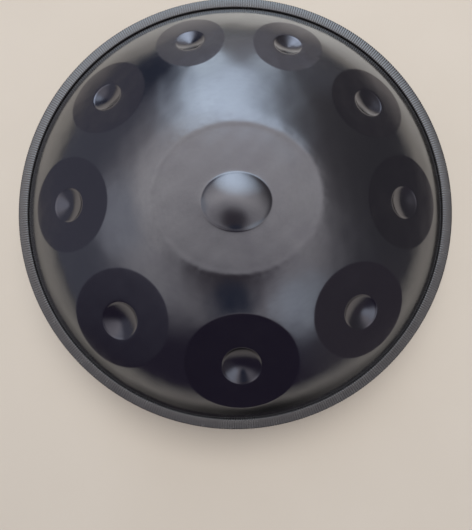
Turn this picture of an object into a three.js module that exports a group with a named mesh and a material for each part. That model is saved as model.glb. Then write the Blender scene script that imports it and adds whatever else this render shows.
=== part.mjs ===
// Handpan: two drawn steel shells bonded at their flanges, with a rubber trim pushed over the edge.
// Millimetres, +Z up. The origin lies on the ground plane, under the centre of the rim, and the
// player sits on the -Y side.

import * as THREE from 'three';
import { ConvexHull } from 'three/addons/math/ConvexHull.js';

const radians = THREE.MathUtils.degToRad;

// ---- Driving dimensions -------------------------------------------------------------------------

const SHEET = 1.2;                     // thickness of the steel
const CLEARANCE = 0.3;                 // between neighbouring pieces
const BOND_THICKNESS = 0.6;

// Section shared by both shells, from the axis outwards: sphere, shoulder, straight wall, fillet, flange.
const DOME_RADIUS = 373;
const SHOULDER_RADIUS = 231;
const FILLET_RADIUS = 1.2;
const SHOULDER_SLOPE = radians(32.5);  // where the sphere turns into the shoulder
const WALL_SLOPE = radians(47);
const FLANGE_INNER_R = 258;
const FLANGE_OUTER_R = 266.5;

// Ding: an oval plate flattened into the top of the dome, with a raised oval dome in it.
const DING = { x: 4, y: -4, width: 184, depth: 166 };
const DING_DOME = { x: 4, y: -8, width: 73, depth: 61, height: 6.7 };

// Tone fields, from the lowest note round to the highest. Each is an oval flattened into the sphere:
// azimuth of its centre from +X, distance of the centre from the axis, size across (along the rim)
// and along (down the slope), and the size of the sunk dimple at its centre.
const TONE_FIELDS = [
  { azimuth: -87, centreR: 185, across: 128, along: 134, dimpleAcross: 45, dimpleAlong: 51 },
  { azimuth: -133.5, centreR: 185.5, across: 114, along: 133, dimpleAcross: 42, dimpleAlong: 51 },
  { azimuth: -41, centreR: 190, across: 112, along: 124, dimpleAcross: 40.5, dimpleAlong: 45.5 },
  { azimuth: 181, centreR: 188, across: 108, along: 119, dimpleAcross: 38.5, dimpleAlong: 45 },
  { azimuth: 0, centreR: 195, across: 106, along: 112, dimpleAcross: 36.5, dimpleAlong: 41.5 },
  { azimuth: 140, centreR: 190, across: 96, along: 109, dimpleAcross: 35, dimpleAlong: 41 },
  { azimuth: 36.5, centreR: 192, across: 91, along: 104, dimpleAcross: 34.5, dimpleAlong: 39 },
  { azimuth: 105, centreR: 195, across: 80, along: 97, dimpleAcross: 33, dimpleAlong: 37 },
  { azimuth: 71, centreR: 193, across: 80, along: 97, dimpleAcross: 32, dimpleAlong: 36 },
];
const DIMPLE_DEPTH_RATIO = 0.14;       // of the dimple's size across

// Gu port: a round hole in the lower shell, its edge turned inwards, with a flat land around it.
const PORT_RADIUS = 45;
const PORT_CURL_RADIUS = 7;
const PORT_NECK_HEIGHT = 26;
const LAND_OUTER_R = 62;

// Edge trim: a U section lying on its side over both flanges.
const TRIM_OUTER_R = 270;
const TRIM_INNER_R = 258;
const TRIM_LEG = 1.3;                  // thickness of each leg
const TRIM_CHAMFER = 1.2;
const TRIM_JOINT_AZIMUTH = radians(237);
const TRIM_JOINT_GAP = 0.5;            // between the strip's two ends

const BOND_INNER_R = 258.5;
const BOND_OUTER_R = 265;

const RIM_STEPS = 72;                  // facets round the rim, shared by every ring

// ---- Section of the shells ----------------------------------------------------------------------

const filletTopR = FLANGE_INNER_R - FILLET_RADIUS * Math.sin(WALL_SLOPE);
const filletTopHeight = FILLET_RADIUS * (1 - Math.cos(WALL_SLOPE));
const sphereEdgeR = DOME_RADIUS * Math.sin(SHOULDER_SLOPE);
const shoulderCentreR = sphereEdgeR - SHOULDER_RADIUS * Math.sin(SHOULDER_SLOPE);
const shoulderEndR = shoulderCentreR + SHOULDER_RADIUS * Math.sin(WALL_SLOPE);
const wallTopHeight = filletTopHeight + (filletTopR - shoulderEndR) * Math.tan(WALL_SLOPE);
const shoulderCentreHeight = wallTopHeight - SHOULDER_RADIUS * Math.cos(WALL_SLOPE);
const sphereCentreHeight = shoulderCentreHeight - (DOME_RADIUS - SHOULDER_RADIUS) * Math.cos(SHOULDER_SLOPE);

// Height of the drawn dome's outer face above the flange's outer face.
function domeHeight(r) {
  if (r >= FLANGE_INNER_R) {
    return 0;
  }
  if (r >= filletTopR) {
    return FILLET_RADIUS - Math.sqrt(FILLET_RADIUS ** 2 - (FLANGE_INNER_R - r) ** 2);
  }
  if (r >= shoulderEndR) {
    return wallTopHeight - (r - shoulderEndR) * Math.tan(WALL_SLOPE);
  }
  if (r >= sphereEdgeR) {
    return shoulderCentreHeight + Math.sqrt(SHOULDER_RADIUS ** 2 - (r - shoulderCentreR) ** 2);
  }
  return sphereCentreHeight + Math.sqrt(DOME_RADIUS ** 2 - r * r);
}

const flangeOffset = BOND_THICKNESS / 2 + CLEARANCE + SHEET;   // seam plane to a flange's outer face
const seamZ = domeHeight(LAND_OUTER_R) + flangeOffset;         // the land touches the ground

// ---- Hammered shape of the ding shell -----------------------------------------------------------

// Depth that makes an oval patch of the sphere flat across its narrow way.
function flatteningDepth(sizeA, sizeB) {
  return (Math.min(sizeA, sizeB) / 2) ** 2 / (2 * DOME_RADIUS);
}

// A smooth hump of height 1 at the centre of an oval and 0 outside it.
function ovalHump(u, v) {
  return Math.max(0, 1 - u * u - v * v);
}

function toneFieldFrame(field) {
  const azimuth = radians(field.azimuth);
  const slope = Math.asin(field.centreR / DOME_RADIUS);
  const outward = new THREE.Vector3(Math.cos(azimuth), Math.sin(azimuth), 0);
  const up = new THREE.Vector3(0, 0, 1);
  const centre = outward.clone().multiplyScalar(field.centreR);
  centre.z = domeHeight(field.centreR);
  const along = outward.clone().multiplyScalar(Math.cos(slope)).addScaledVector(up, -Math.sin(slope));
  const across = new THREE.Vector3().crossVectors(up, outward);
  const normal = outward.clone().multiplyScalar(Math.sin(slope)).addScaledVector(up, Math.cos(slope));
  return { field, centre, along, across, normal };
}

const toneFieldFrames = TONE_FIELDS.map(toneFieldFrame);

// How far the hammering of one tone field lowers a point of the dome, measured vertically.
function toneFieldDrop(frame, pointOnDome) {
  const { field, centre, along, across, normal } = frame;
  const offset = pointOnDome.clone().sub(centre);
  const u = offset.dot(across);
  const v = offset.dot(along);
  const flat = ovalHump(2 * u / field.across, 2 * v / field.along);
  const dimple = ovalHump(2 * u / field.dimpleAcross, 2 * v / field.dimpleAlong);
  const flatDepth = flatteningDepth(field.across, field.along);
  const dimpleDepth = DIMPLE_DEPTH_RATIO * field.dimpleAcross;
  return (flat * flatDepth + dimple * dimpleDepth) / normal.z;
}

function ovalHumpAt(oval, x, y) {
  return ovalHump(2 * (x - oval.x) / oval.width, 2 * (y - oval.y) / oval.depth);
}

// Height of the ding shell's outer face above its flange's outer face.
function dingShellHeight(x, y) {
  const point = new THREE.Vector3(x, y, domeHeight(Math.hypot(x, y)));
  let height = point.z;
  height -= ovalHumpAt(DING, x, y) * flatteningDepth(DING.width, DING.depth);
  height += ovalHumpAt(DING_DOME, x, y) * DING_DOME.height;
  for (const frame of toneFieldFrames) {
    height -= toneFieldDrop(frame, point);
  }
  return height;
}

function dingShellNormal(x, y) {
  const step = 0.05;
  const slopeX = (dingShellHeight(x + step, y) - dingShellHeight(x - step, y)) / (2 * step);
  const slopeY = (dingShellHeight(x, y + step) - dingShellHeight(x, y - step)) / (2 * step);
  return new THREE.Vector3(-slopeX, -slopeY, 1).normalize();
}

// ---- Points spread over the ding shell, as [x, y] seen from above -------------------------------

function ring(count, phase, pointAt) {
  const points = [];
  for (let i = 0; i < count; i += 1) {
    points.push(pointAt(phase + i / count * 2 * Math.PI));
  }
  return points;
}

function rimRing(r) {
  return ring(RIM_STEPS, TRIM_JOINT_AZIMUTH, (angle) => [r * Math.cos(angle), r * Math.sin(angle)]);
}

function dingRing(oval, scale, count, phase) {
  return ring(count, phase, (angle) => [
    oval.x + scale * oval.width / 2 * Math.cos(angle),
    oval.y + scale * oval.depth / 2 * Math.sin(angle),
  ]);
}

// An oval ring round a tone field's centre, laid on the sphere.
function toneFieldRing(frame, across, along, count, phase) {
  return ring(count, phase, (angle) => {
    const u = across / 2 * Math.cos(angle);
    const v = along / 2 * Math.sin(angle);
    const sag = DOME_RADIUS - Math.sqrt(DOME_RADIUS ** 2 - u * u - v * v);
    const point = frame.centre.clone();
    point.addScaledVector(frame.across, u);
    point.addScaledVector(frame.along, v);
    point.addScaledVector(frame.normal, -sag);
    return [point.x, point.y];
  });
}

function toneFieldPoints(frame) {
  const { field, centre } = frame;
  const edgeSteps = 28;
  const midSteps = 22;
  const dimpleSteps = 18;
  const dimpleMidSteps = 10;
  const midAcross = (0.95 * field.across + field.dimpleAcross) / 2;
  const midAlong = (0.95 * field.along + field.dimpleAlong) / 2;
  return [
    ...toneFieldRing(frame, field.across, field.along, edgeSteps, 0),
    ...toneFieldRing(frame, midAcross, midAlong, midSteps, 0.1),
    ...toneFieldRing(frame, field.dimpleAcross, field.dimpleAlong, dimpleSteps, 0),
    ...toneFieldRing(frame, 0.55 * field.dimpleAcross, 0.55 * field.dimpleAlong, dimpleMidSteps, 0.2),
    [centre.x, centre.y],
  ];
}

function dingPoints() {
  return [
    ...dingRing(DING, 1, 40, 0),
    ...dingRing(DING, 0.72, 30, 0.1),
    ...dingRing(DING_DOME, 1, 24, 0),
    ...dingRing(DING_DOME, 0.7, 16, 0.1),
    ...dingRing(DING_DOME, 0.35, 8, 0.2),
    [DING_DOME.x, DING_DOME.y],
  ];
}

function clearOfHammering(x, y, margin) {
  if (ovalHumpAt({ ...DING, width: DING.width + margin, depth: DING.depth + margin }, x, y) > 0) {
    return false;
  }
  const point = new THREE.Vector3(x, y, domeHeight(Math.hypot(x, y)));
  return toneFieldFrames.every(({ field, centre, along, across }) => {
    const offset = point.clone().sub(centre);
    const u = 2 * offset.dot(across) / (field.across + margin);
    const v = 2 * offset.dot(along) / (field.along + margin);
    return ovalHump(u, v) === 0;
  });
}

// Evenly spaced points on a sunflower spiral, kept where the dome is left as drawn.
function dingFillPoints() {
  const spacing = 17;
  const margin = 22;
  const goldenAngle = Math.PI * (3 - Math.sqrt(5));
  const reach = shoulderEndR - spacing / 2;
  const count = Math.floor(Math.PI * reach ** 2 / spacing ** 2);
  const points = [];
  for (let i = 0; i < count; i += 1) {
    const r = reach * Math.sqrt((i + 0.5) / count);
    const x = r * Math.cos(i * goldenAngle);
    const y = r * Math.sin(i * goldenAngle);
    if (clearOfHammering(x, y, margin)) {
      points.push([x, y]);
    }
  }
  return points;
}

function clearOfRim([x, y]) {
  return Math.hypot(x, y) < shoulderEndR - 3;
}

function dingShellPoints() {
  return [
    ...rimRing(FLANGE_OUTER_R),
    ...rimRing(FLANGE_INNER_R),
    ...rimRing(filletTopR),
    ...rimRing(shoulderEndR),
    ...[...dingPoints(), ...dingFillPoints(), ...toneFieldFrames.flatMap(toneFieldPoints)].filter(clearOfRim),
  ];
}

// Points on a sphere have their own triangulation: it is the upper side of their convex hull.
function triangulateOverSphere(points) {
  const lifted = points.map(([x, y]) => new THREE.Vector3(x, y, Math.sqrt(DOME_RADIUS ** 2 - x * x - y * y)));
  const indexOf = new Map(lifted.map((point, index) => [point, index]));
  const hull = new ConvexHull().setFromPoints(lifted);
  const upperFaces = hull.faces.filter((face) => face.normal.z > 1e-6 && face.area > 1e-6);
  return upperFaces.map((face) => [0, 1, 2].map((corner) => indexOf.get(face.getEdge(corner).head().point)));
}

// ---- Solids -------------------------------------------------------------------------------------

function solidGeometry(vertices, triangles) {
  const geometry = new THREE.BufferGeometry();
  geometry.setAttribute('position', new THREE.Float32BufferAttribute(vertices.flat(), 3));
  geometry.setIndex(triangles.flat());
  geometry.computeVertexNormals();
  return geometry;
}

function quad(a, b, c, d) {
  return [[a, b, c], [a, c, d]];
}

// The outer face carries every point, the inner face is the same mesh one sheet thickness below it,
// and a wall joins them round the flange's edge, whose ring comes first.
function dingShellGeometry() {
  const points = dingShellPoints();
  const upper = triangulateOverSphere(points);
  const outer = points.map(([x, y]) => [x, y, dingShellHeight(x, y)]);
  const inner = outer.map(([x, y, z]) => {
    const normal = dingShellNormal(x, y);
    return [x - SHEET * normal.x, y - SHEET * normal.y, z - SHEET * normal.z];
  });
  const below = points.length;
  const lower = upper.map(([a, b, c]) => [below + a, below + c, below + b]);
  const wall = [];
  for (let i = 0; i < RIM_STEPS; i += 1) {
    const next = (i + 1) % RIM_STEPS;
    wall.push(...quad(i, below + i, below + next, next));
  }
  return solidGeometry([...outer, ...inner], [...upper, ...lower, ...wall]);
}

// Sweeps a closed section of [r, z] corners, listed anticlockwise, all the way round the axis.
function fullRingGeometry(section) {
  const vertices = [];
  const triangles = [];
  for (let step = 0; step < RIM_STEPS; step += 1) {
    const angle = TRIM_JOINT_AZIMUTH + step / RIM_STEPS * 2 * Math.PI;
    for (const [r, z] of section) {
      vertices.push([r * Math.cos(angle), r * Math.sin(angle), z]);
    }
    const here = step * section.length;
    const there = (step + 1) % RIM_STEPS * section.length;
    for (let i = 0; i < section.length; i += 1) {
      const next = (i + 1) % section.length;
      triangles.push(...quad(here + i, there + i, there + next, here + next));
    }
  }
  return solidGeometry(vertices, triangles);
}

// The same sweep as a strip cut to length: its ends stay apart by the joint gap and are capped.
function stripGeometry(section) {
  const halfGapAngle = TRIM_JOINT_GAP / 2 / TRIM_OUTER_R;
  const vertices = [];
  const triangles = [];
  for (let step = 0; step <= RIM_STEPS; step += 1) {
    let angle = step / RIM_STEPS * 2 * Math.PI;
    angle = THREE.MathUtils.clamp(angle, halfGapAngle, 2 * Math.PI - halfGapAngle) + TRIM_JOINT_AZIMUTH;
    for (const [r, z] of section) {
      vertices.push([r * Math.cos(angle), r * Math.sin(angle), z]);
    }
  }
  for (let step = 0; step < RIM_STEPS; step += 1) {
    const here = step * section.length;
    const there = here + section.length;
    for (let i = 0; i < section.length; i += 1) {
      const next = (i + 1) % section.length;
      triangles.push(...quad(here + i, there + i, there + next, here + next));
    }
  }
  const contour = section.map(([r, z]) => new THREE.Vector2(r, z));
  const cap = THREE.ShapeUtils.triangulateShape(contour, []);
  const last = RIM_STEPS * section.length;
  triangles.push(...cap);
  triangles.push(...cap.map(([a, b, c]) => [last + a, last + c, last + b]));
  return solidGeometry(vertices, triangles);
}

// ---- Sections of the ring-shaped pieces ---------------------------------------------------------

// Offsets each outer corner by one sheet thickness against its outward normal.
function sheetSection(outerCorners) {
  const outer = outerCorners.map(({ r, z }) => [r, z]);
  const inner = outerCorners.map(({ r, z, normalR, normalZ }) => [r - SHEET * normalR, z - SHEET * normalZ]);
  return [...outer, ...inner.reverse()];
}

function domeCorner(r) {
  const step = 0.01;
  const slope = (domeHeight(r + step) - domeHeight(r - step)) / (2 * step);
  const length = Math.hypot(slope, 1);
  return { r, z: seamZ - flangeOffset - domeHeight(r), normalR: -slope / length, normalZ: -1 / length };
}

function portCorners() {
  const curlSteps = 3;
  const curlCentreR = PORT_RADIUS + PORT_CURL_RADIUS;
  const corners = [{ r: PORT_RADIUS, z: PORT_NECK_HEIGHT, normalR: -1, normalZ: 0 }];
  for (let i = 0; i <= curlSteps; i += 1) {
    const angle = i / curlSteps * Math.PI / 2;
    const normalR = -Math.cos(angle);
    const normalZ = -Math.sin(angle);
    corners.push({
      r: curlCentreR + PORT_CURL_RADIUS * normalR,
      z: PORT_CURL_RADIUS + PORT_CURL_RADIUS * normalZ,
      normalR,
      normalZ,
    });
  }
  corners.push({ r: LAND_OUTER_R, z: 0, normalR: 0, normalZ: -1 });
  return corners;
}

function guShellSection() {
  const sphereSteps = 7;
  const shoulderSteps = 3;
  const corners = portCorners();
  for (let i = 1; i <= sphereSteps; i += 1) {
    corners.push(domeCorner(THREE.MathUtils.lerp(LAND_OUTER_R, sphereEdgeR, i / sphereSteps)));
  }
  for (let i = 1; i <= shoulderSteps; i += 1) {
    corners.push(domeCorner(THREE.MathUtils.lerp(sphereEdgeR, shoulderEndR, i / shoulderSteps)));
  }
  corners.push(domeCorner(filletTopR));
  corners.push(domeCorner(FLANGE_INNER_R));
  corners.push(domeCorner(FLANGE_OUTER_R));
  return sheetSection(corners);
}

function bondSection() {
  const half = BOND_THICKNESS / 2;
  return [
    [BOND_INNER_R, seamZ - half],
    [BOND_OUTER_R, seamZ - half],
    [BOND_OUTER_R, seamZ + half],
    [BOND_INNER_R, seamZ + half],
  ];
}

function trimSection() {
  const slotHalf = flangeOffset + CLEARANCE;
  const outerHalf = slotHalf + TRIM_LEG;
  const slotR = FLANGE_OUTER_R + CLEARANCE;
  const upperHalf = [
    [slotR, slotHalf],
    [TRIM_INNER_R, slotHalf],
    [TRIM_INNER_R, outerHalf - TRIM_CHAMFER / 2],
    [TRIM_INNER_R + TRIM_CHAMFER / 2, outerHalf],
    [TRIM_OUTER_R - TRIM_CHAMFER, outerHalf],
    [TRIM_OUTER_R, outerHalf - TRIM_CHAMFER],
  ];
  const lowerHalf = upperHalf.map(([r, z]) => [r, -z]).reverse();
  return [...upperHalf, ...lowerHalf].map(([r, z]) => [r, z + seamZ]).reverse();
}

// ---- Materials ----------------------------------------------------------------------------------

function nitridedSteel() {
  return new THREE.MeshStandardMaterial({ color: 0x26282e, roughness: 0.35, metalness: 0.9 });
}

function trimRubber() {
  return new THREE.MeshStandardMaterial({ color: 0x3c3d40, roughness: 0.75, metalness: 0 });
}

function structuralAdhesive() {
  return new THREE.MeshStandardMaterial({ color: 0x1c1c1e, roughness: 0.6, metalness: 0 });
}

// ---- Assembly -----------------------------------------------------------------------------------

function dingShell() {
  const mesh = new THREE.Mesh(dingShellGeometry(), nitridedSteel());
  mesh.name = 'ding_shell';
  mesh.position.z = seamZ + flangeOffset;
  return mesh;
}

function guShell() {
  const mesh = new THREE.Mesh(fullRingGeometry(guShellSection()), nitridedSteel());
  mesh.name = 'gu_shell';
  return mesh;
}

function adhesiveBond() {
  const mesh = new THREE.Mesh(fullRingGeometry(bondSection()), structuralAdhesive());
  mesh.name = 'adhesive_bond';
  return mesh;
}

function rimTrim() {
  const mesh = new THREE.Mesh(stripGeometry(trimSection()), trimRubber());
  mesh.name = 'rim_trim';
  return mesh;
}

const handpan = new THREE.Group();
handpan.add(dingShell(), guShell(), adhesiveBond(), rimTrim());

export default handpan;
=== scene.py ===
import math

import bpy
import numpy as np
from mathutils import Matrix, Vector
from mathutils.geometry import delaunay_2d_cdt


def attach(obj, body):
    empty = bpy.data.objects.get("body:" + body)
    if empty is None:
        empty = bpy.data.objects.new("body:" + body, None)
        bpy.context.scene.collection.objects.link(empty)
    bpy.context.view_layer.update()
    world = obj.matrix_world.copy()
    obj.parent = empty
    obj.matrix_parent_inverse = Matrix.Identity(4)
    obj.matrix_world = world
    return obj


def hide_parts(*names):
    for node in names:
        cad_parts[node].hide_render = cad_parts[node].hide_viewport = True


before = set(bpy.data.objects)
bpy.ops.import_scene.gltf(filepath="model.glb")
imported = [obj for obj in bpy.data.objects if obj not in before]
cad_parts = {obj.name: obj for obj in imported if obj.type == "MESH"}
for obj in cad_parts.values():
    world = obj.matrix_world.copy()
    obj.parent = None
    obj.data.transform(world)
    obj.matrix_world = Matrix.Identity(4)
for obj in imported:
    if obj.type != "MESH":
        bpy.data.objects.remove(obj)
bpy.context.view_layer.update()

# Handpan: two drawn steel shells glued at their flanges, with a ribbed rubber trim over the edge.
# Dimensions are in millimetres and turned into metres where a mesh is made.
MM = 0.001
TINY = 1e-6

# ---- Driving dimensions -------------------------------------------------------------------------
# They are the CAD model's, apart from the ones that shape detail that only this model has.

SHEET = 1.2
CLEARANCE = 0.3
BOND_THICKNESS = 0.6

DOME_RADIUS = 373.0
SHOULDER_RADIUS = 231.0
FILLET_RADIUS = 1.2
SHOULDER_SLOPE = math.radians(32.5)
WALL_SLOPE = math.radians(47)
FLANGE_INNER_R = 258.0
FLANGE_OUTER_R = 266.5

# The ding's plate and the dome in it, with how widely their edges are rounded over.
DING = {"x": 4.0, "y": -4.0, "width": 184.0, "depth": 166.0, "edge": 4.0}
DING_DOME = {"x": 4.0, "y": -8.0, "width": 73.0, "depth": 61.0, "edge": 1.0}
DING_DOME_HEIGHT = 6.7
# The hammering round the plate reaches further on the left and at the top: part of the flattening
# follows this wider oval.
APRON = {"x": -6.0, "y": 3.0, "width": 204.0, "depth": 174.0, "edge": 5.0}
APRON_SHARE = 0.40
# A soft raised line just inside the plate's edge.
PLATE_RIDGE = {"inset": 3.0, "width": 4.0, "height": 0.22}
# Share of a pressed bowl's or dome's height that rises in its steep flank, just inside its edge.
DOME_FLANK_SHARE = 0.12
BOWL_FLANK_SHARE = 0.12
FLANK_POWER = 12
# A bowl is rounded out to about this part of its radius, and its side is nearly straight beyond.
BOWL_ROUNDNESS = 0.62

# azimuth, distance of the centre from the axis, size across and along the slope, dimple across and along
TONE_FIELDS = [
    (-87, 185, 128, 134, 45, 51),
    (-133.5, 185.5, 114, 133, 42, 51),
    (-41, 190, 112, 124, 40.5, 45.5),
    (181, 188, 108, 119, 38.5, 45),
    (0, 195, 106, 112, 36.5, 41.5),
    (140, 190, 96, 109, 35, 41),
    (36.5, 192, 91, 104, 34.5, 39),
    (105, 195, 80, 97, 33, 37),
    (71, 193, 80, 97, 32, 36),
]
# A tone field is hammered a little past flat, so that it is slightly dished.
FIELD_DISHING = 1.29
# Of the dimple's size across. The CAD solid's is 0.14.
DIMPLE_DEPTH_RATIO = 0.142
# A dimple is struck more from above than square to its field, so it is deeper towards the axis.
DIMPLE_LEAN = 0.35
FIELD_EDGE = 0.8
DIMPLE_EDGE = 0.7

PORT_RADIUS = 45.0
PORT_CURL_RADIUS = 7.0
PORT_NECK_HEIGHT = 26.0
LAND_OUTER_R = 62.0

TRIM_OUTER_R = 270.0
TRIM_INNER_R = 258.0
# The legs are a little thinner than the CAD solid's 1.3 mm, and rounded outside and at their lips.
TRIM_LEG = 1.05
TRIM_CORNER = 1.7
TRIM_LIP = 1.0
# The mouth of the strip is pinched, so that its rounded inner edges nearly touch the steel.
TRIM_MOUTH = 0.25
TRIM_MOUTH_GAP = 0.05
TRIM_JOINT_AZIMUTH = math.radians(237)
TRIM_JOINT_GAP = 0.5
TRIM_RIB_PITCH = 3.0
TRIM_RIB_DEPTH = 0.27
# The higher the sharpness, the narrower the grooves between the ribs.
TRIM_RIB_SHARPNESS = 3
# How many sections the strip has for each rib.
TRIM_RIB_STATIONS = 8

BOND_INNER_R = 258.5
BOND_OUTER_R = 265.0

# ---- Section of the shells ----------------------------------------------------------------------

FILLET_TOP_R = FLANGE_INNER_R - FILLET_RADIUS * math.sin(WALL_SLOPE)
FILLET_TOP_HEIGHT = FILLET_RADIUS * (1 - math.cos(WALL_SLOPE))
SPHERE_EDGE_R = DOME_RADIUS * math.sin(SHOULDER_SLOPE)
SHOULDER_CENTRE_R = SPHERE_EDGE_R - SHOULDER_RADIUS * math.sin(SHOULDER_SLOPE)
SHOULDER_END_R = SHOULDER_CENTRE_R + SHOULDER_RADIUS * math.sin(WALL_SLOPE)
WALL_TOP_HEIGHT = FILLET_TOP_HEIGHT + (FILLET_TOP_R - SHOULDER_END_R) * math.tan(WALL_SLOPE)
SHOULDER_CENTRE_HEIGHT = WALL_TOP_HEIGHT - SHOULDER_RADIUS * math.cos(WALL_SLOPE)
SPHERE_CENTRE_DROP = (DOME_RADIUS - SHOULDER_RADIUS) * math.cos(SHOULDER_SLOPE)
SPHERE_CENTRE_HEIGHT = SHOULDER_CENTRE_HEIGHT - SPHERE_CENTRE_DROP


def dome_height(r):
    """Height of the drawn dome's outer face above the flange's outer face, for an array of radii."""
    r = np.asarray(r, float)
    sphere = SPHERE_CENTRE_HEIGHT + np.sqrt(np.maximum(DOME_RADIUS ** 2 - r ** 2, 0))
    inside = np.maximum(SHOULDER_RADIUS ** 2 - (r - SHOULDER_CENTRE_R) ** 2, 0)
    shoulder = SHOULDER_CENTRE_HEIGHT + np.sqrt(inside)
    wall = WALL_TOP_HEIGHT - (r - SHOULDER_END_R) * math.tan(WALL_SLOPE)
    inside = np.maximum(FILLET_RADIUS ** 2 - (FLANGE_INNER_R - r) ** 2, 0)
    fillet = FILLET_RADIUS - np.sqrt(inside)
    zones = [r < SPHERE_EDGE_R, r < SHOULDER_END_R, r < FILLET_TOP_R, r < FLANGE_INNER_R]
    return np.select(zones, [sphere, shoulder, wall, fillet], 0.0)


FLANGE_OFFSET = BOND_THICKNESS / 2 + CLEARANCE + SHEET
SEAM_Z = float(dome_height(LAND_OUTER_R)) + FLANGE_OFFSET

# ---- Hammered shape of the ding shell -----------------------------------------------------------


def oval_radius(u, v, size):
    """0 at the centre of an oval and 1 on its outline."""
    return np.hypot(2 * u / size[0], 2 * v / size[1])


def oval_hump(u, v, half_size, edge):
    """1 at the centre of an oval and 0 outside it, its crease rounded over about edge millimetres."""
    s = 1 - u * u - v * v
    softness = 2 * edge / half_size
    return (s + np.sqrt(s * s + softness * softness)) / 2


def pressed_dome(u, v, half_size, edge):
    """An oval hump whose outermost part is a steeper flank."""
    hump = np.minimum(oval_hump(u, v, half_size, edge), 1)
    return (1 - DOME_FLANK_SHARE) * hump + DOME_FLANK_SHARE * (1 - (1 - hump) ** FLANK_POWER)


def pressed_bowl(u, v, half_size, edge):
    """A rounded bottom, a nearly straight side, and a steeper flank just inside the edge."""
    hump = np.minimum(oval_hump(u, v, half_size, edge), 1)
    distance = np.sqrt(1 - hump)
    side = np.log(np.cosh(distance / BOWL_ROUNDNESS)) / math.log(math.cosh(1 / BOWL_ROUNDNESS))
    return (1 - BOWL_FLANK_SHARE) * (1 - side) + BOWL_FLANK_SHARE * (1 - (1 - hump) ** FLANK_POWER)


def flattening_depth(size_a, size_b):
    """Height of the cap that a flat oval takes off the sphere."""
    return (min(size_a, size_b) / 2) ** 2 / (2 * DOME_RADIUS)


class ToneField:
    """A flattened oval on the slope of the dome, with a sunk dimple in its middle."""

    def __init__(self, azimuth, centre_r, across, along, dimple_across, dimple_along):
        azimuth = math.radians(azimuth)
        slope = math.asin(centre_r / DOME_RADIUS)
        outward = np.array([math.cos(azimuth), math.sin(azimuth), 0.0])
        up = np.array([0.0, 0.0, 1.0])
        self.size = (across, along)
        self.dimple_size = (dimple_across, dimple_along)
        self.centre = outward * centre_r + up * float(dome_height(centre_r))
        self.along = outward * math.cos(slope) - up * math.sin(slope)
        self.across = np.cross(up, outward)
        self.normal = outward * math.sin(slope) + up * math.cos(slope)
        self.flat_depth = FIELD_DISHING * flattening_depth(across, along)
        self.dimple_depth = DIMPLE_DEPTH_RATIO * dimple_across

    def local(self, x, y, z):
        """Position in the plane of the field, across and along the slope."""
        offset = np.stack([x, y, z], -1) - self.centre
        return offset @ self.across, offset @ self.along

    def drop(self, x, y, z):
        """How much lower the field and its dimple make the sheet."""
        u, v = self.local(x, y, z)
        half = min(self.size) / 2
        flat = oval_hump(2 * u / self.size[0], 2 * v / self.size[1], half, FIELD_EDGE)
        across, along = self.dimple_size
        half = min(across, along) / 2
        dimple = pressed_bowl(2 * u / across, 2 * v / along, half, DIMPLE_EDGE)
        lean = 1 - DIMPLE_LEAN * 2 * v / along
        return (flat * self.flat_depth + dimple * lean * self.dimple_depth) / self.normal[2]

    def ring(self, across, along, count):
        """Plan positions of an oval ring laid on the sphere round the field's centre."""
        angle = np.arange(count) / count * 2 * math.pi
        u = across / 2 * np.cos(angle)
        v = -along / 2 * np.sin(angle)
        sag = DOME_RADIUS - np.sqrt(DOME_RADIUS ** 2 - u * u - v * v)
        points = self.centre + np.outer(u, self.across) + np.outer(v, self.along)
        points -= np.outer(sag, self.normal)
        return points[:, :2]


FIELDS = [ToneField(*row) for row in TONE_FIELDS]


def oval_at(shape, oval, x, y):
    half = min(oval["width"], oval["depth"]) / 2
    u = 2 * (x - oval["x"]) / oval["width"]
    v = 2 * (y - oval["y"]) / oval["depth"]
    return shape(u, v, half, oval["edge"])


def inside_plate(x, y):
    """Distance inward from the outline of the ding's plate, about in millimetres."""
    size = (DING["width"], DING["depth"])
    return (1 - oval_radius(x - DING["x"], y - DING["y"], size)) * min(size) / 2


def flattened(oval, x, y):
    """How much lower the sheet is where an oval is hammered flat."""
    return oval_at(oval_hump, oval, x, y) * flattening_depth(oval["width"], oval["depth"])


# Hammering leaves the drawn sheet slightly wavy: ripples of these lengths and heights.
RIPPLES = [(62.0, 0.10), (34.0, 0.055), (19.0, 0.026), (11.0, 0.007)]
RIPPLE_DIRECTIONS = 14
# The least and greatest length of a ripple, as shares of the lengths above.
RIPPLE_SPREAD = (0.8, 1.25)
RIPPLE_SEED = 7
# The ripples die out over this distance above the foot of the wall.
RIPPLE_FADE = 20


def hammering(x, y, ripples, seed):
    """A low, even waviness made of plane waves in seeded random directions."""
    random = np.random.default_rng(seed)
    total = np.zeros_like(x)
    for length, height in ripples:
        for _ in range(RIPPLE_DIRECTIONS):
            angle, phase = random.uniform(0, 2 * math.pi, 2)
            stretched = length * random.uniform(*RIPPLE_SPREAD)
            along = (x * math.cos(angle) + y * math.sin(angle)) / stretched
            total += height / math.sqrt(RIPPLE_DIRECTIONS) * np.sin(2 * math.pi * along + phase)
    return total


# Close hammer marks along the edge of the plate and of each tone field.
EDGE_MARKS = {"length": 9.0, "height": 0.020, "reach": 6.0}
EDGE_MARK_SEED = 11


def edge_marks(x, y, z):
    """Hammer marks that are strongest on an edge, and weaker along the tone fields than the plate."""
    nearest = np.abs(inside_plate(x, y))
    for field in FIELDS:
        from_edge = np.abs(1 - oval_radius(*field.local(x, y, z), field.size)) * min(field.size) / 2
        nearest = np.minimum(nearest, from_edge + EDGE_MARKS["reach"] / 2)
    marks = hammering(x, y, [(EDGE_MARKS["length"], EDGE_MARKS["height"])], EDGE_MARK_SEED)
    return marks * np.exp(-(nearest / EDGE_MARKS["reach"]) ** 2)


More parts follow.
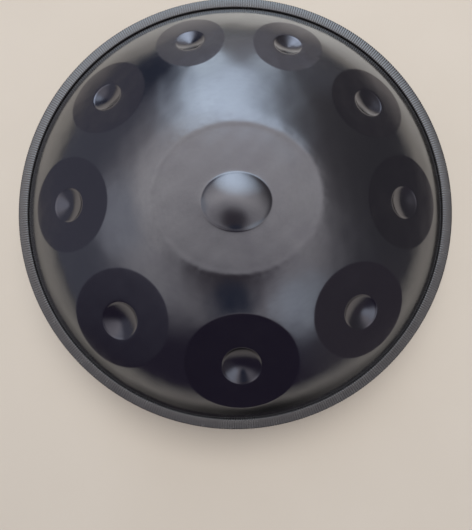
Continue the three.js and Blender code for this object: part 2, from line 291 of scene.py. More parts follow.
def ding_height(x, y):
    """Height of the ding shell's outer face above its flange's outer face."""
    r = np.hypot(x, y)
    z = dome_height(r)
    height = z - (1 - APRON_SHARE) * flattened(DING, x, y) - APRON_SHARE * flattened(APRON, x, y)
    height = height + oval_at(pressed_dome, DING_DOME, x, y) * DING_DOME_HEIGHT
    from_ridge = inside_plate(x, y) - PLATE_RIDGE["inset"]
    height = height + PLATE_RIDGE["height"] * np.exp(-(from_ridge / PLATE_RIDGE["width"]) ** 2)
    for field in FIELDS:
        height = height - field.drop(x, y, z)
    waves = hammering(x, y, RIPPLES, RIPPLE_SEED) + edge_marks(x, y, z)
    return height + waves * np.clip((FILLET_TOP_R - r) / RIPPLE_FADE, 0, 1)


def surface_normals(height, x, y):
    """Unit normals of a height function, from its slopes over a very short step."""
    step = 0.02
    slope_x = (height(x + step, y) - height(x - step, y)) / (2 * step)
    slope_y = (height(x, y + step) - height(x, y - step)) / (2 * step)
    normals = np.stack([-slope_x, -slope_y, np.ones_like(slope_x)], -1)
    return normals / np.linalg.norm(normals, axis=1, keepdims=True)


# ---- Plan mesh of the ding shell ----------------------------------------------------------------

# Points on each ring round a tone field, round the ding and round the rim.
FIELD_RING_POINTS = 104
DING_RING_POINTS = 144
RIM_COUNT = 360
# The rings of a patch lie close together at its creases. Each zone ends at an offset from the inner
# outline, the dimple's or the dome's, or from the outer one, and has its own spacing of rings.
FIELD_ZONES = [
    ("inner", -3.5, 1.4),
    ("inner", 2, 0.5),
    ("outer", -4, 2.6),
    ("outer", 4.5, 0.75),
]
DING_ZONES = [
    ("inner", -5, 1.5),
    ("inner", 3, 0.5),
    ("outer", -9, 2.6),
    ("outer", 9, 1.2),
    ("outer", 16, 2.4),
]
# The rings at the rim start a little inside the fillet. Each zone here is an end and a spacing.
RIM_START_R = FILLET_TOP_R - 3.0
RIM_ZONES = [(FILLET_TOP_R, 1.0), (FLANGE_INNER_R, 0.3), (FLANGE_OUTER_R, 2.8)]
# The points between the patches, and how far they stay off the patches as a share of their spacing.
FILL_SPACING = 3.4
FILL_CLEARANCE = 0.6
# How many times wider the rings and points of the hidden inner face are spaced.
INNER_COARSENESS = 2.0


class PlanMesh:
    """Points seen from above and the faces between them."""

    def __init__(self):
        self.blocks = []
        self.count = 0
        self.faces = []

    def add(self, points):
        """Adds points and returns their numbers."""
        first = self.count
        self.blocks.append(points)
        self.count += len(points)
        return np.arange(first, self.count)

    def bridge(self, inner, outer):
        """Quads between two rings with the same number of points, both anticlockwise."""
        inner_next = np.roll(inner, -1)
        outer_next = np.roll(outer, -1)
        self.faces += np.stack([inner, outer, outer_next, inner_next], 1).tolist()

    def fan(self, centre, ring):
        """Triangles between a point and the ring round it."""
        ring_next = np.roll(ring, -1)
        self.faces += [[int(centre), int(a), int(b)] for a, b in zip(ring, ring_next)]

    def points(self):
        return np.concatenate(self.blocks)


def steps_between(start, end, spacing):
    """Even steps of about the given spacing, without the start and with the end."""
    count = max(1, round(abs(end - start) / spacing))
    return np.linspace(start, end, count + 1)[1:].tolist()


def ring_distances(start, zones, coarse):
    """Distances at which rings are laid, given each zone's end and the spacing of its rings."""
    rings = []
    for end, spacing in zones:
        rings += steps_between(start, end, spacing * coarse)
        start = end
    return rings


def patch_rings(inner, outer, zones, coarse):
    """Distances from the centre of a patch at which its rings are laid."""
    outlines = {"inner": inner, "outer": outer}
    ends = [(outlines[outline] + offset, spacing) for outline, offset, spacing in zones]
    return ring_distances(0, ends, coarse)


def oval_patch(mesh, centre, ring_at, distances):
    """A patch of concentric oval rings. Returns its outermost ring."""
    previous = None
    for distance in distances:
        ring = mesh.add(ring_at(distance))
        if previous is None:
            middle = mesh.add(np.array([centre]))
            mesh.fan(middle[0], ring)
        else:
            mesh.bridge(previous, ring)
        previous = ring
    return previous


def tone_field_patch(mesh, field, count, coarse):
    """The rings of one tone field and its dimple. Returns the outermost."""
    dimple = min(field.dimple_size) / 2
    edge = min(field.size) / 2

    def ring_at(distance):
        """Grows from the dimple's proportions to the field's."""
        if distance <= dimple:
            across = field.dimple_size[0] * distance / dimple
            along = field.dimple_size[1] * distance / dimple
        elif distance <= edge:
            t = (distance - dimple) / (edge - dimple)
            across = field.dimple_size[0] * (1 - t) + field.size[0] * t
            along = field.dimple_size[1] * (1 - t) + field.size[1] * t
        else:
            across = field.size[0] + 2 * (distance - edge)
            along = field.size[1] + 2 * (distance - edge)
        return field.ring(across, along, count)

    return oval_patch(mesh, field.centre[:2], ring_at, patch_rings(dimple, edge, FIELD_ZONES, coarse))


def plan_ring(x, y, width, depth, count):
    angle = np.arange(count) / count * 2 * math.pi
    return np.stack([x + width / 2 * np.cos(angle), y + depth / 2 * np.sin(angle)], -1)


def ding_patch(mesh, count, coarse):
    """The rings of the ding's dome and plate. Returns the outermost."""
    dome = min(DING_DOME["width"], DING_DOME["depth"]) / 2
    edge = min(DING["width"], DING["depth"]) / 2

    def ring_at(distance):
        """Grows from the dome's proportions to the plate's."""
        t = min(1.0, max(0.0, (distance - dome) / (edge - dome)))
        grow = 2 * max(0.0, distance - edge)
        shrink = min(1.0, distance / dome)
        x = DING_DOME["x"] * (1 - t) + DING["x"] * t
        y = DING_DOME["y"] * (1 - t) + DING["y"] * t
        width = DING_DOME["width"] * (1 - t) * shrink + DING["width"] * t + grow
        depth = DING_DOME["depth"] * (1 - t) * shrink + DING["depth"] * t + grow
        return plan_ring(x, y, width, depth, count)

    centre = (DING_DOME["x"], DING_DOME["y"])
    return oval_patch(mesh, centre, ring_at, patch_rings(dome, edge, DING_ZONES, coarse))


def inside_polygon(points, polygon):
    """Even-odd test of many points against one closed polygon."""
    x, y = points[:, 0], points[:, 1]
    inside = np.zeros(len(points), bool)
    for (x0, y0), (x1, y1) in zip(polygon, np.roll(polygon, -1, axis=0)):
        crosses = (y0 > y) != (y1 > y)
        with np.errstate(divide="ignore", invalid="ignore"):
            at = x0 + (y - y0) / (y1 - y0) * (x1 - x0)
        inside ^= crosses & (x < at)
    return inside


def fill_points(reach, spacing):
    """Evenly spaced points on a sunflower spiral."""
    count = int(math.pi * reach ** 2 / spacing ** 2)
    index = np.arange(count)
    r = reach * np.sqrt((index + 0.5) / count)
    angle = index * math.pi * (3 - math.sqrt(5))
    return np.stack([r * np.cos(angle), r * np.sin(angle)], -1)


def fill_between(mesh, outer, holes, spacing):
    """Triangulates the region inside the outer ring and outside the holes."""
    points = mesh.points()
    loops = [outer] + holes
    reach = np.hypot(*points[outer[0]])
    clearance = FILL_CLEARANCE * spacing
    grid = fill_points(reach, spacing)
    keep = np.hypot(grid[:, 0], grid[:, 1]) < reach - clearance
    for hole in holes:
        loop = points[hole]
        centre = loop.mean(0)
        grown = centre + (loop - centre) * (1 + clearance / np.hypot(*(loop - centre).T).min())
        keep &= ~inside_polygon(grid, grown)
    filler = mesh.add(grid[keep])
    used = np.concatenate(loops + [filler])
    points = mesh.points()
    position = {int(index): i for i, index in enumerate(used)}
    edges = []
    for loop in loops:
        edges += [(position[int(a)], position[int(b)]) for a, b in zip(loop, np.roll(loop, -1))]
    coordinates = [Vector(points[index]) for index in used]
    whole_hull = 0
    _, _, triangles, sources, _, _ = delaunay_2d_cdt(coordinates, edges, [], whole_hull, TINY)
    back = [int(used[source[0]]) for source in sources]
    corners = np.array([[back[i] for i in triangle] for triangle in triangles])
    middles = points[corners].mean(1)
    keep = inside_polygon(middles, points[outer])
    for hole in holes:
        keep &= ~inside_polygon(middles, points[hole])
    a, b, c = points[corners[:, 0]], points[corners[:, 1]], points[corners[:, 2]]
    turn = (b[:, 0] - a[:, 0]) * (c[:, 1] - a[:, 1]) - (b[:, 1] - a[:, 1]) * (c[:, 0] - a[:, 0])
    corners[turn < 0] = corners[turn < 0][:, ::-1]
    mesh.faces += corners[keep].tolist()


def ding_plan(coarse):
    """Plan mesh of the ding shell, and the ring that is the flange's edge."""
    mesh = PlanMesh()
    count = round(FIELD_RING_POINTS / coarse)
    holes = [tone_field_patch(mesh, field, count, coarse) for field in FIELDS]
    holes.append(ding_patch(mesh, round(DING_RING_POINTS / coarse), coarse))
    radii = [RIM_START_R] + ring_distances(RIM_START_R, RIM_ZONES, coarse)
    rings = [mesh.add(plan_ring(0, 0, 2 * r, 2 * r, RIM_COUNT)) for r in radii]
    for inner, outer in zip(rings, rings[1:]):
        mesh.bridge(inner, outer)
    fill_between(mesh, rings[0], holes, FILL_SPACING * coarse)
    return mesh, rings[-1]


# ---- Mesh objects -------------------------------------------------------------------------------

# Edges that turn more than this are shown sharp, on the pieces with no exact normals.
SHARP_ANGLE = math.radians(35)


def mesh_object(name, vertices, faces, normals=None):
    """A smooth-shaded mesh from positions in millimetres, with exact normals where they are known."""
    mesh = bpy.data.meshes.new(name)
    mesh.from_pydata((np.asarray(vertices) * MM).tolist(), [], faces)
    mesh.update()
    mesh.polygons.foreach_set("use_smooth", [True] * len(mesh.polygons))
    if normals is None:
        mesh.set_sharp_from_angle(angle=SHARP_ANGLE)
    else:
        mesh.normals_split_custom_set_from_vertices(normals)
    obj = bpy.data.objects.new(name, mesh)
    bpy.context.scene.collection.objects.link(obj)
    return obj


def add_mask(obj, name, values):
    """One number per vertex, which a material reads by its name."""
    attribute = obj.data.attributes.new(name, "FLOAT", "POINT")
    attribute.data.foreach_set("value", np.asarray(values, np.float32))


# How much of the tone fields' darker finish a dimple has, and how far the finish fades at the
# outlines of the field and of the dimple, in millimetres.
DIMPLE_TONE = 0.8
FIELD_FADE = 1.2
DIMPLE_FADE = 2.0


def tone_mask(x, y):
    """1 where the sheet has the tone fields' darker finish, 0 outside them, less in the dimples."""
    z = dome_height(np.hypot(x, y))
    tone = np.zeros_like(x)
    for field in FIELDS:
        u, v = field.local(x, y, z)
        from_edge = (1 - oval_radius(u, v, field.size)) * min(field.size) / 2
        inside = np.clip(from_edge / FIELD_FADE + 0.5, 0, 1)
        from_dimple = (oval_radius(u, v, field.dimple_size) - 1) * min(field.dimple_size) / 2
        around = np.clip(from_dimple / DIMPLE_FADE + 0.5, 0, 1)
        tone = np.maximum(tone, inside * (DIMPLE_TONE + (1 - DIMPLE_TONE) * around))
    return tone


def ding_shell():
    """A closed sheet: a fine outer face, a coarser inner face below it, and the flange's edge."""
    base_z = SEAM_Z + FLANGE_OFFSET
    outer_mesh, outer_edge = ding_plan(1.0)
    inner_mesh, inner_edge = ding_plan(INNER_COARSENESS)
    plan = outer_mesh.points()
    x, y = plan[:, 0], plan[:, 1]
    outer = np.stack([x, y, base_z + ding_height(x, y)], -1)
    outer_normals = surface_normals(ding_height, x, y)
    tone = tone_mask(x, y)
    plan = inner_mesh.points()
    x, y = plan[:, 0], plan[:, 1]
    inner_normals = surface_normals(ding_height, x, y)
    inner = np.stack([x, y, base_z + ding_height(x, y)], -1) - SHEET * inner_normals
    shift = len(outer)
    faces = list(outer_mesh.faces)
    faces += [[shift + i for i in reversed(face)] for face in inner_mesh.faces]
    corners = [outer_edge, shift + inner_edge, shift + np.roll(inner_edge, -1), np.roll(outer_edge, -1)]
    faces += np.stack(corners, 1).tolist()
    normals = np.concatenate([outer_normals, -inner_normals])
    obj = mesh_object("ding_shell_fine", np.concatenate([outer, inner]), faces, normals)
    add_mask(obj, "tone", np.concatenate([tone, np.zeros(len(inner))]))
    return obj


def swept_ring(name, section, count, displace=None, start=0.0, end=2 * math.pi):
    """Sweeps a closed section of [r, z] corners, listed anticlockwise, round the axis."""
    closed = end - start > 2 * math.pi - TINY
    section = np.asarray(section, float)
    angles = start + (end - start) * np.arange(count + (0 if closed else 1)) / count
    rows = []
    for angle in angles:
        here = section if displace is None else displace(section, angle)
        r, z = here[:, 0], here[:, 1]
        rows.append(np.stack([r * math.cos(angle), r * math.sin(angle), z], -1))
    size = len(section)
    faces = []
    for step in range(count):
        a = step * size
        b = (step + 1) % len(angles) * size
        faces += [[a + i, b + i, b + (i + 1) % size, a + (i + 1) % size] for i in range(size)]
    if not closed:
        faces.append(list(range(size)))
        faces.append(list(reversed(range(count * size, (count + 1) * size))))
    return mesh_object(name, np.concatenate(rows), faces)


# Steps of the gu shell's section: up the port's neck, round its curl, across the land, and from the
# land out to the flange's edge through each part of the section.
NECK_STEPS = 7
CURL_STEPS = 12
LAND_STEPS = 4
GU_SECTION = [LAND_OUTER_R, SPHERE_EDGE_R, SHOULDER_END_R, FILLET_TOP_R, FLANGE_INNER_R, FLANGE_OUTER_R]
GU_SECTION_STEPS = [45, 6, 4, 7, 4]
BOND_EDGE_POINTS = 7


def gu_shell():
    """The lower shell: the same dome upside down, with the port's neck turned inwards."""
    outer, normals = [], []

    def corner(r, z, normal_r, normal_z):
        outer.append((r, z))
        normals.append((normal_r, normal_z))

    for z in np.linspace(PORT_NECK_HEIGHT, PORT_CURL_RADIUS, NECK_STEPS + 1)[:-1]:
        corner(PORT_RADIUS, z, -1, 0)
    curl_centre_r = PORT_RADIUS + PORT_CURL_RADIUS
    for i in range(CURL_STEPS + 1):
        angle = i / CURL_STEPS * math.pi / 2
        normal_r, normal_z = -math.cos(angle), -math.sin(angle)
        r = curl_centre_r + PORT_CURL_RADIUS * normal_r
        corner(r, PORT_CURL_RADIUS * (1 + normal_z), normal_r, normal_z)
    for r in np.linspace(curl_centre_r, LAND_OUTER_R, LAND_STEPS + 1)[1:-1]:
        corner(r, 0, 0, -1)
    radii = []
    for start, end, count in zip(GU_SECTION, GU_SECTION[1:], GU_SECTION_STEPS):
        radii += list(np.linspace(start, end, count + 1)[:-1])
    radii.append(FLANGE_OUTER_R)
    step = 0.01
    for r in radii:
        slope = float(dome_height(r + step) - dome_height(r - step)) / (2 * step)
        length = math.hypot(slope, 1)
        corner(r, SEAM_Z - FLANGE_OFFSET - float(dome_height(r)), -slope / length, -1 / length)
    outer = np.array(outer)
    inner = outer - SHEET * np.array(normals)
    return swept_ring("gu_shell_fine", np.concatenate([outer, inner[::-1]]), RIM_COUNT)


def adhesive_bond():
    """The glue line, with edges that bulge a little between the flanges."""
    half = BOND_THICKNESS / 2
    angle = np.linspace(-math.pi / 2, math.pi / 2, BOND_EDGE_POINTS)
    bulge = half * np.cos(angle)
    height = half * np.sin(angle)
    outer_edge = np.stack([BOND_OUTER_R - half + bulge, SEAM_Z + height], -1)
    inner_edge = np.stack([BOND_INNER_R + half - bulge, SEAM_Z - height], -1)
    return swept_ring("adhesive_bond_fine", np.concatenate([outer_edge, inner_edge]), RIM_COUNT)


def arc(centre, radius, start_deg, end_deg, count):
    """Points of an arc in the plane of a section."""
    angle = np.radians(np.linspace(start_deg, end_deg, count))
    return np.stack([centre[0] + radius * np.cos(angle), centre[1] + radius * np.sin(angle)], -1)


TRIM_MOUTH_POINTS = 5
TRIM_CORNER_POINTS = 7


def rim_trim():
    """The ribbed strip: a U section lying on its side, swept between its two butted ends."""
    slot_half = FLANGE_OFFSET + CLEARANCE
    outer_half = slot_half + TRIM_LEG
    slot_r = FLANGE_OUTER_R + CLEARANCE
    middle_r = (TRIM_INNER_R + TRIM_OUTER_R) / 2
    mouth = (TRIM_INNER_R + TRIM_MOUTH, FLANGE_OFFSET + TRIM_MOUTH + TRIM_MOUTH_GAP)
    lip = (TRIM_INNER_R + TRIM_LIP, outer_half - TRIM_LIP)
    corner = (TRIM_OUTER_R - TRIM_CORNER, outer_half - TRIM_CORNER)
    upper = np.concatenate([
        [[slot_r, slot_half]],
        arc(mouth, TRIM_MOUTH, 270, 190, TRIM_MOUTH_POINTS),
        arc(lip, TRIM_LIP, 180, 90, TRIM_CORNER_POINTS),
        [[middle_r, outer_half]],
        arc(corner, TRIM_CORNER, 90, 0, TRIM_CORNER_POINTS),
    ])
    lower = upper[::-1] * [1, -1]
    section = np.concatenate([upper, lower])[::-1]
    is_slot = (np.abs(section[:, 1]) <= slot_half + TINY) & (section[:, 0] < slot_r + TINY)
    rib_count = round(2 * math.pi * TRIM_OUTER_R / TRIM_RIB_PITCH)

    def displace(corners, angle):
        """Sinks the outside of the strip into the grooves between its ribs."""
        wave = 0.5 - 0.5 * math.cos(rib_count * angle)
        depth = TRIM_RIB_DEPTH * wave ** TRIM_RIB_SHARPNESS
        height = np.abs(corners[:, 1])
        inward = np.where(height < outer_half - TINY, np.sign(middle_r - corners[:, 0]), 0)
        towards_seam = np.where(height >= outer_half - TRIM_CORNER, np.sign(-corners[:, 1]), 0)
        moved = corners + depth * np.stack([inward, towards_seam], -1) * ~is_slot[:, None]
        return moved + [0, SEAM_Z]

    half_gap = TRIM_JOINT_GAP / 2 / TRIM_OUTER_R
    start = TRIM_JOINT_AZIMUTH + half_gap
    end = TRIM_JOINT_AZIMUTH + 2 * math.pi - half_gap
    return swept_ring("rim_trim_fine", section, rib_count * TRIM_RIB_STATIONS, displace, start, end)


# ---- Materials ----------------------------------------------------------------------------------


def new_material(name):
    material = bpy.data.materials.new(name)
    material.use_nodes = True
    material.node_tree.nodes.clear()
    return material


class Nodes:
    """Shorthand for building a node tree."""

    def __init__(self, owner):
        self.tree = owner.node_tree

    def add(self, kind, inputs=None, **properties):
        node = self.tree.nodes.new(kind)
        for key, value in properties.items():
            setattr(node, key, value)
        for key, value in (inputs or {}).items():
            if isinstance(value, bpy.types.NodeSocket):
                self.tree.links.new(value, node.inputs[key])
            else:
                node.inputs[key].default_value = value
        return node

    def noise(self, coordinates, scale, detail=3.0, roughness=0.5):
        inputs = {"Vector": coordinates, "Scale": scale, "Detail": detail, "Roughness": roughness}
        return self.add("ShaderNodeTexNoise", inputs).outputs["Fac"]

    def ramp(self, value, low, high, to_low=0.0, to_high=1.0, curve="LINEAR"):
        """Takes the range from low to high to the one from to_low to to_high, and stops at its ends."""
        inputs = {"Value": value, "From Min": low, "From Max": high, "To Min": to_low, "To Max": to_high}
        return self.add("ShaderNodeMapRange", inputs, interpolation_type=curve).outputs["Result"]

    def math(self, operation, a, b):
        return self.add("ShaderNodeMath", {0: a, 1: b}, operation=operation).outputs[0]

    def vector(self, operation, inputs, output="Vector"):
        return self.add("ShaderNodeVectorMath", inputs, operation=operation).outputs[output]

    def mix_color(self, factor, a, b):
        node = self.add("ShaderNodeMix", data_type="RGBA")
        for socket, value in ((node.inputs[0], factor), (node.inputs[6], a), (node.inputs[7], b)):
            if isinstance(value, bpy.types.NodeSocket):
                self.tree.links.new(value, socket)
            else:
                socket.default_value = value
        return node.outputs[2]

    def bump(self, height, strength, distance, **inputs):
        inputs = {"Height": height, "Strength": strength, "Distance": distance, **inputs}
        return self.add("ShaderNodeBump", inputs).outputs["Normal"]

    def mask(self, name):
        return self.add("ShaderNodeAttribute", attribute_name=name).outputs["Fac"]

    def round_the_axis(self, position, per_turn, per_metre):
        """Coordinates that stretch a noise into streaks running round the Z axis, with no seam."""
        place = self.add("ShaderNodeSeparateXYZ", {"Vector": position}).outputs
        plan = self.add("ShaderNodeCombineXYZ", {"X": place["X"], "Y": place["Y"]}).outputs[0]
        outward = self.vector("SCALE", {0: self.vector("NORMALIZE", {0: plan}), "Scale": per_turn})
        distance = self.math("MULTIPLY", self.vector("LENGTH", {0: plan}, "Value"), per_metre)
        across = self.add("ShaderNodeCombineXYZ", {"Z": distance}).outputs[0]
        return self.vector("ADD", {0: outward, 1: across})

    def position(self):
        return self.add("ShaderNodeTexCoord").outputs["Object"]

    def surface(self, inputs):
        """The material's shader, with these inputs, joined to its output."""
        shader = self.add("ShaderNodeBsdfPrincipled", inputs)
        self.add("ShaderNodeOutputMaterial", {"Surface": shader.outputs[0]})


# Colours are linear. A noise's scale is in waves per metre. Its values lie round 0.5, and the range
# given to a ramp is the part of them over which something comes in.
STEEL_CLOUD_COLOURS = ((0.232, 0.230, 0.240, 1), (0.252, 0.252, 0.256, 1))
STEEL_STREAK_COLOUR = (0.205, 0.202, 0.212, 1)
STEEL_BLOTCH_COLOUR = (0.215, 0.21, 0.225, 1)
STEEL_FIELD_COLOUR = (0.180, 0.172, 0.190, 1)
STEEL_ROUGHNESS = (0.125, 0.165)
# What smudges and the tone fields' finish add to the roughness, and streaks add or take away.
SMUDGE_ROUGHNESS = 0.05
FIELD_ROUGHNESS = 0.03
STREAK_ROUGHNESS = 0.012
# How much of its own colour each of them shows where it is fullest.
STREAK_SHARE = 0.30
BLOTCH_SHARE = 0.5
FIELD_SHARE = 0.9


def nitrided_steel(name, with_fields):
    """Blue-black nitrided steel: satin, clouded, with faint smudges and very fine scratches."""
    material = new_material(name)
    nodes = Nodes(material)
    position = nodes.position()
    clouds = nodes.noise(position, scale=9.0, detail=4.0)
    blotches = nodes.noise(position, scale=38.0, detail=5.0, roughness=0.6)
    smudges = nodes.noise(position, scale=16.0, detail=3.0, roughness=0.55)
    grain = nodes.noise(position, scale=900.0, detail=2.0)
    wiping = nodes.round_the_axis(position, per_turn=13.0, per_metre=260.0)
    streaks = nodes.noise(wiping, scale=1.0, detail=4.0, roughness=0.65)
    colour = nodes.mix_color(nodes.ramp(clouds, 0.35, 0.65), *STEEL_CLOUD_COLOURS)
    streaked = nodes.ramp(streaks, 0.45, 0.75, 0, STREAK_SHARE)
    colour = nodes.mix_color(streaked, colour, STEEL_STREAK_COLOUR)
    blotched = nodes.ramp(blotches, 0.5, 0.75, 0, BLOTCH_SHARE)
    colour = nodes.mix_color(blotched, colour, STEEL_BLOTCH_COLOUR)
    roughness = nodes.ramp(blotches, 0.3, 0.7, *STEEL_ROUGHNESS)
    smudged = nodes.math("MULTIPLY", nodes.ramp(smudges, 0.56, 0.70), SMUDGE_ROUGHNESS)
    roughness = nodes.math("ADD", roughness, smudged)
    scratched = nodes.ramp(streaks, 0.35, 0.65, -STREAK_ROUGHNESS, STREAK_ROUGHNESS)
    roughness = nodes.math("ADD", roughness, scratched)
    if with_fields:
        tone = nodes.mask("tone")
        colour = nodes.mix_color(nodes.math("MULTIPLY", tone, FIELD_SHARE), colour, STEEL_FIELD_COLOUR)
        roughness = nodes.math("ADD", roughness, nodes.math("MULTIPLY", tone, FIELD_ROUGHNESS))
    wiped = nodes.bump(streaks, strength=1.0, distance=0.0000045)
    normal = nodes.bump(grain, strength=0.12, distance=0.0002, Normal=wiped)
    nodes.surface({"Base Color": colour, "Roughness": roughness, "Metallic": 1.0, "Normal": normal})
    return material


RUBBER_COLOURS = ((0.012, 0.011, 0.010, 1), (0.022, 0.021, 0.019, 1))
RUBBER_ROUGHNESS = (0.20, 0.30)
# The rubber's sheen is strong and slightly warm.
RUBBER_SHEEN = {"IOR": 2.2, "Specular IOR Level": 0.68, "Specular Tint": (1.0, 0.975, 0.945, 1)}


def trim_rubber():
    """Dark grey rubber, a little dusty, with mottled sheen."""
    material = new_material("trim_rubber")
    nodes = Nodes(material)
    position = nodes.position()
    dust = nodes.noise(position, scale=60.0, detail=5.0, roughness=0.65)
    grain = nodes.noise(position, scale=1500.0, detail=2.0)
    colour = nodes.mix_color(nodes.ramp(dust, 0.4, 0.7), *RUBBER_COLOURS)
    roughness = nodes.ramp(dust, 0.3, 0.7, *RUBBER_ROUGHNESS)
    normal = nodes.bump(grain, strength=0.25, distance=0.0002)
    nodes.surface({"Base Color": colour, "Roughness": roughness, "Normal": normal, **RUBBER_SHEEN})
    return material


ADHESIVE_COLOURS = ((0.010, 0.010, 0.011, 1), (0.022, 0.022, 0.024, 1))
ADHESIVE_ROUGHNESS = 0.45


def structural_adhesive():
    """Cured black adhesive, slightly uneven where it has flowed."""
    material = new_material("structural_adhesive")
    nodes = Nodes(material)
    flow = nodes.noise(nodes.position(), scale=120.0, detail=3.0)
    colour = nodes.mix_color(flow, *ADHESIVE_COLOURS)
    normal = nodes.bump(flow, strength=0.4, distance=0.0005)
    nodes.surface({"Base Color": colour, "Roughness": ADHESIVE_ROUGHNESS, "Normal": normal})
    return material


# ---- Floor --------------------------------------------------------------------------------------

# The floor lies this far below the instrument, so that the two faces don't coincide.
FLOOR_GAP = 0.0003
FLOOR_SIZE = 30
FLOOR_COLOURS = ((0.484, 0.440, 0.378, 1), (0.504, 0.460, 0.398, 1))
FLOOR_ROUGHNESS = 0.6
# Each shade is two distances from a place, in metres, and the floor's brightness at each of them.
# The floor is painted paler away from the middle, as painted light that makes up for the lamp's light,
# less of which falls on it there.
MIDDLE = (0.0, 0.0, 0.0)
FAR_FLOOR_PAINTED_LIGHT = (1.2, 5.0, 1.0, 1.9)
# As the steel mirrors it, the floor has painted shade: it is painted darker far into the room, where the
# player sits and in the instrument's own shadow.
MIRRORED_PAINTED_SHADES = [
    # painted shade in the far part of the room
    (MIDDLE, (0.90, 2.20, 1.0, 0.85)),
    # painted shade where the player sits
    ((0.1, -0.60, 0.0), (0.05, 0.45, 0.04, 0.95)),
    # painted shadow of the instrument
    ((0.0, -0.15, 0.0), (0.40, 0.58, 0.27, 1.0)),
]
# Where the steel mirrors it, the floor is painted brighter and bluer near the window, as painted light:
# the distances over which that comes in, and both colours.
WINDOW = (0.15, 0.55, 0.0)
WINDOW_REACH = (0.60, 0.10)
PAINTED_WINDOW_LIGHT = ((0.83, 0.85, 0.87, 1), (1.42, 1.54, 1.64, 1))


def pale_floor():
    """A plain, faintly mottled floor, painted paler far from the middle, with the room's light and shade
    painted on it where it is mirrored.
    """
    material = new_material("floor")
    nodes = Nodes(material)
    position = nodes.position()

    def over_distance(place, shade):
        distance = nodes.vector("DISTANCE", {0: position, 1: place}, "Value")
        return nodes.ramp(distance, *shade)

    mottle = nodes.noise(position, scale=3.0, detail=5.0, roughness=0.6)
    colour = nodes.mix_color(nodes.ramp(mottle, 0.35, 0.65), *FLOOR_COLOURS)
    # Painted light, seen only by glossy rays: brighter and bluer near the window.
    mirrored = nodes.mix_color(over_distance(WINDOW, WINDOW_REACH), *PAINTED_WINDOW_LIGHT)
    # Painted shade, seen only by glossy rays: darker far off, where the player sits and in the
    # instrument's shadow.
    for place, shade in MIRRORED_PAINTED_SHADES:
        mirrored = nodes.vector("SCALE", {0: mirrored, "Scale": over_distance(place, shade)})
    mirrored = nodes.vector("MULTIPLY", {0: colour, 1: mirrored})
    # Painted light: away from the middle the floor is painted paler, where less of the lamp's light
    # falls.
    seen = nodes.vector("SCALE", {0: colour, "Scale": over_distance(MIDDLE, FAR_FLOOR_PAINTED_LIGHT)})
    glossy = nodes.add("ShaderNodeLightPath").outputs["Is Glossy Ray"]
    nodes.surface({"Base Color": nodes.mix_color(glossy, seen, mirrored), "Roughness": FLOOR_ROUGHNESS})
    return material


def add_floor():
    bpy.ops.mesh.primitive_plane_add(size=FLOOR_SIZE, location=(0, 0, -FLOOR_GAP))
    floor = bpy.context.object
    floor.name = "floor"
    floor.data.materials.append(pale_floor())


# ---- Light and camera ---------------------------------------------------------------------------

# What the steel mirrors, as soft patches of brightness: azimuth, angle from straight up, the patch's
# inner and outer radius in degrees, and its colour.
ROOM_PATCHES = [
    (83, 53, 0, 38, (1.72, 2.02, 2.42)),
    (176, 51, 5, 20, (0.49, 0.51, 0.59)),
    (-103, 23, 9, 43, (0.35, 0.34, 0.38)),
    (-50, 50, 2, 19, (0.63, 0.69, 0.80)),
    (39, 69, 4, 44, (0.30, 0.28, 0.30)),
    (-100, 98, 35, 63, (0.048, 0.040, 0.068)),
    (-98, 21, 0, 23, (0.09, 0.08, 0.10)),
    (-92, 37, 0, 13, (0.05, 0.06, 0.10)),
    (19, 93, 13, 89, (0.090, 0.087, 0.100)),
    (-38, 82, 5, 32, (0.10, 0.09, 0.11)),
    (88, 90, 4, 24, (0.42, 0.42, 0.46)),
    (100, 76, 0, 9, (1.35, 1.58, 1.85)),
    (79, 76, 0, 8, (0.92, 1.05, 1.22)),
    (118, 81, 0, 15, (0.05, 0.06, 0.10)),
    (64, 80, 0, 14, (0.17, 0.17, 0.20)),
]
# Behind the patches, the brightness goes from the horizon's to the ceiling's between these heights
# of a direction, which is 0 level and 1 straight up. The camera sees the plain backdrop instead.
HORIZON = (0.162, 0.167, 0.214, 1)
CEILING = (0.912, 0.886, 0.936, 1)
HORIZON_TO_CEILING = (0.34, 1.01)
BACKDROP = (0.62, 0.58, 0.53, 1)
# One big lamp nearly overhead, which the steel doesn't mirror: its azimuth and angle from straight
# up, and its distance and size in metres.
SOFTBOX_DIRECTION = (80, 15)
SOFTBOX_DISTANCE = 2.8
SOFTBOX_SIZE = 2.0
SOFTBOX_POWER = 86
SOFTBOX_COLOUR = (1.0, 0.96, 0.92)


def direction_vector(azimuth, from_zenith):
    azimuth, from_zenith = math.radians(azimuth), math.radians(from_zenith)
    level = math.sin(from_zenith)
    return Vector((level * math.cos(azimuth), level * math.sin(azimuth), math.cos(from_zenith)))


def add_world():
    """Surroundings that light the scene and that the steel mirrors, with a plain backdrop."""
    world = bpy.data.worlds.new("studio")
    world.use_nodes = True
    world.node_tree.nodes.clear()
    bpy.context.scene.world = world
    nodes = Nodes(world)
    direction = nodes.add("ShaderNodeTexCoord").outputs["Generated"]
    height = nodes.add("ShaderNodeSeparateXYZ", {"Vector": direction}).outputs["Z"]
    up = nodes.ramp(height, *HORIZON_TO_CEILING, curve="SMOOTHSTEP")
    colour = nodes.mix_color(up, HORIZON, CEILING)
    for azimuth, from_zenith, inner, outer, patch in ROOM_PATCHES:
        axis = direction_vector(azimuth, from_zenith)
        alignment = nodes.vector("DOT_PRODUCT", {0: direction, 1: axis}, "Value")
        edges = [math.cos(math.radians(angle)) for angle in (outer, inner)]
        inside = nodes.ramp(alignment, *edges, curve="SMOOTHSTEP")
        colour = nodes.mix_color(inside, colour, (*patch, 1))
    seen = nodes.add("ShaderNodeLightPath").outputs["Is Camera Ray"]
    colour = nodes.mix_color(seen, colour, BACKDROP)
    background = nodes.add("ShaderNodeBackground", {"Color": colour, "Strength": 1.0})
    nodes.add("ShaderNodeOutputWorld", {"Surface": background.outputs[0]})


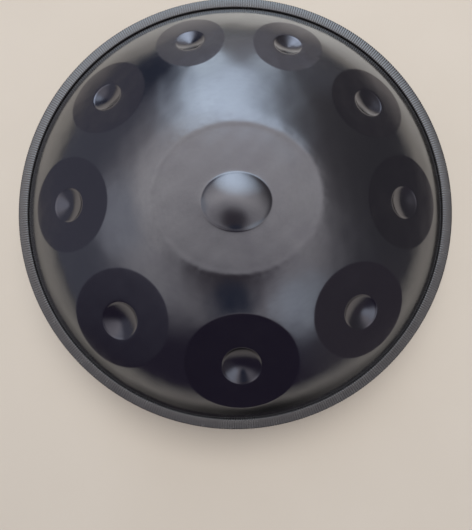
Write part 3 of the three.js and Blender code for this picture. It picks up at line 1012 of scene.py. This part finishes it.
def add_softbox():
    data = bpy.data.lights.new("softbox", "AREA")
    data.shape = "RECTANGLE"
    data.size = SOFTBOX_SIZE
    data.size_y = SOFTBOX_SIZE
    data.energy = SOFTBOX_POWER
    data.color = SOFTBOX_COLOUR
    light = bpy.data.objects.new("softbox", data)
    place = direction_vector(*SOFTBOX_DIRECTION) * SOFTBOX_DISTANCE
    light.location = place
    light.rotation_euler = (-place).to_track_quat("-Z", "Y").to_euler()
    light.visible_glossy = False
    bpy.context.scene.collection.objects.link(light)


# Camera above the handpan, held over the player's side: its place from the rim's centre, its tilt
# about X and Y in degrees, and its focal length in pixels of an image of this width.
CAMERA_OFFSET = (9.1, -92.7, 566.8)
CAMERA_TILT = (2.39, 0.68)
LENS_PIXELS = 456.2
IMAGE_WIDTH = 472
SENSOR_MM = 36.0
NEAREST_SEEN = 0.01


def add_camera():
    data = bpy.data.cameras.new("camera")
    data.sensor_fit = "HORIZONTAL"
    data.sensor_width = SENSOR_MM
    data.lens = LENS_PIXELS / IMAGE_WIDTH * SENSOR_MM
    data.clip_start = NEAREST_SEEN
    camera = bpy.data.objects.new("camera", data)
    tilt_x, tilt_y = map(math.radians, CAMERA_TILT)
    tilt = Matrix.Rotation(tilt_x, 4, "X") @ Matrix.Rotation(tilt_y, 4, "Y")
    place = (Vector((0, 0, SEAM_Z)) + Vector(CAMERA_OFFSET)) * MM
    camera.matrix_world = Matrix.Translation(place) @ tilt
    bpy.context.scene.collection.objects.link(camera)
    bpy.context.scene.camera = camera


# ---- The scene ----------------------------------------------------------------------------------


def add_piece(piece, node, material):
    piece.data.materials.append(material)
    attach(piece, "root")
    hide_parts(node)


add_camera()
add_world()
add_softbox()
add_floor()
add_piece(ding_shell(), "ding_shell", nitrided_steel("ding_shell_steel", True))
add_piece(gu_shell(), "gu_shell", nitrided_steel("gu_shell_steel", False))
add_piece(adhesive_bond(), "adhesive_bond", structural_adhesive())
add_piece(rim_trim(), "rim_trim", trim_rubber())
bpy.context.scene.view_settings.view_transform = "Standard"
